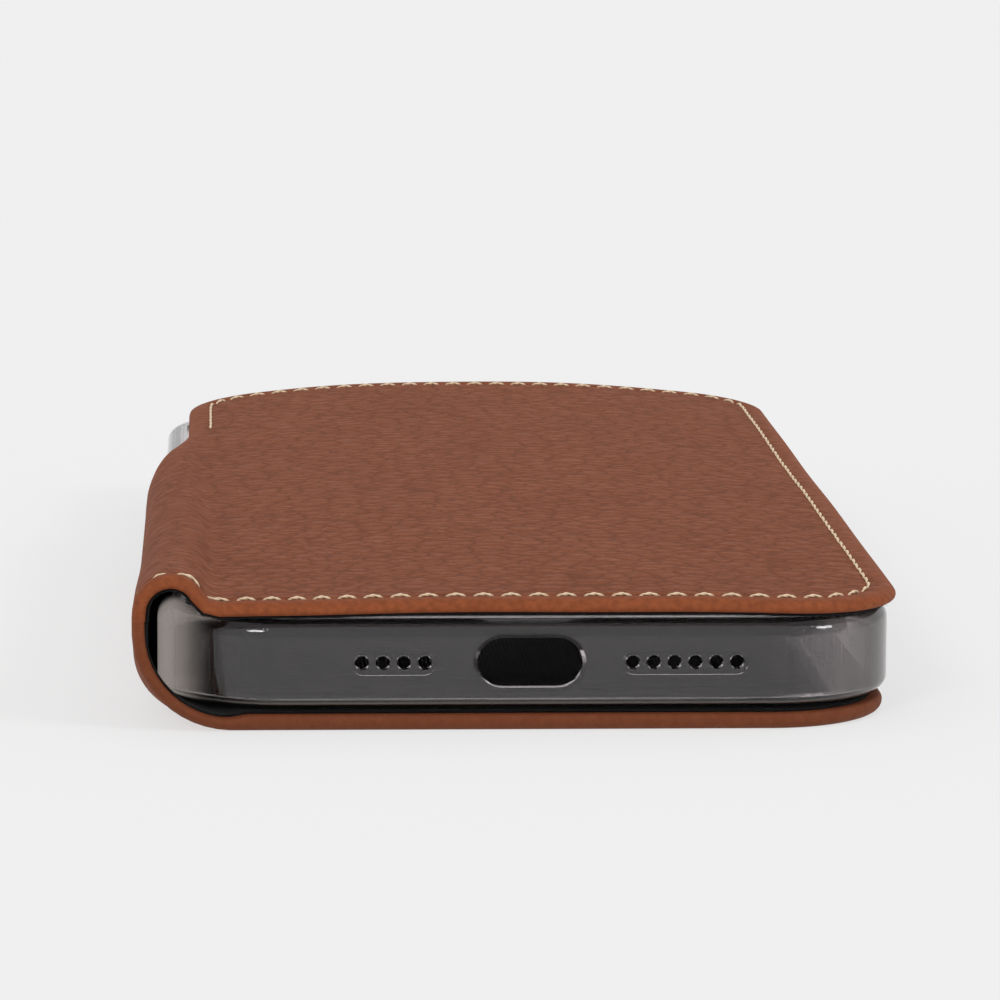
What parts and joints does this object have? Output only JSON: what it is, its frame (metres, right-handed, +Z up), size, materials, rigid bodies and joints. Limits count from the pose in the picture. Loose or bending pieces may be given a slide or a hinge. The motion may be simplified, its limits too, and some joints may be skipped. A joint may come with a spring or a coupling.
{
  "type": "phone wallet case",
  "caption": "Closed leather book-style phone wallet case: pebbled hide cover with soft spine and stitched flap round a clear tray with port cut-out.",
  "frame": {"origin": "middle of the closed case's footprint, on the table it lies on", "axes": "+X from the spine to the flap's free edge, +Y from the charging-port end to the camera end, +Z up through the closed case, from the back panel to the flap"},
  "size_m": [0.0842, 0.165, 0.0166],
  "materials": {
    "cover_leather": "pebbled, semi-matt",
    "black_suede": "microsuede nap, matt",
    "cream_thread": "waxed two-ply",
    "clear_tpu": "clear, gloss outside, fine dots inside",
    "board": "pressed fibre board",
    "adhesive": "foam tape"
  },
  "bodies": {
    "back_cover": {"back_leather": "cover_leather", "back_board": "board", "back_lining": "black_suede", "back_stitching": "cream_thread", "tray_adhesive": "adhesive", "phone_tray": "clear_tpu"},
    "spine": {"spine_leather": "cover_leather", "spine_lining": "black_suede", "spine_stitching": "cream_thread"},
    "flap": {"flap_leather": "cover_leather", "flap_board": "board", "flap_lining": "black_suede", "flap_stitching": "cream_thread", "note_pocket": "black_suede", "card_pocket_upper": "black_suede", "card_pocket_lower": "black_suede", "pocket_stitching": "cream_thread"},
    "action_button": {"action_pad": "clear_tpu"},
    "volume_up_button": {"volume_up_pad": "clear_tpu"},
    "volume_down_button": {"volume_down_pad": "clear_tpu"},
    "power_button": {"power_pad": "clear_tpu"}
  },
  "joints": [
    {"name": "spine_fold", "type": "hinge", "parent": "back_cover", "child": "spine", "pos_m": [-0.04034, 0, 0.00176], "axis": [0, -1, 0], "range_deg": [0, 90]},
    {"name": "flap_fold", "type": "hinge", "parent": "spine", "child": "flap", "pos_m": [-0.03995, 0, 0.01502], "axis": [0, -1, 0], "range_deg": [0, 90]},
    {"name": "action_press", "type": "slide", "parent": "back_cover", "child": "action_button", "axis": [1, 0, 0], "range_m": [0, 0.0004], "stiffness_N_per_m": 2500},
    {"name": "volume_up_press", "type": "slide", "parent": "back_cover", "child": "volume_up_button", "axis": [1, 0, 0], "range_m": [0, 0.0004], "stiffness_N_per_m": 2500},
    {"name": "volume_down_press", "type": "slide", "parent": "back_cover", "child": "volume_down_button", "axis": [1, 0, 0], "range_m": [0, 0.0004], "stiffness_N_per_m": 2500},
    {"name": "power_press", "type": "slide", "parent": "back_cover", "child": "power_button", "axis": [-1, 0, 0], "range_m": [0, 0.0004], "stiffness_N_per_m": 2500}
  ]
}
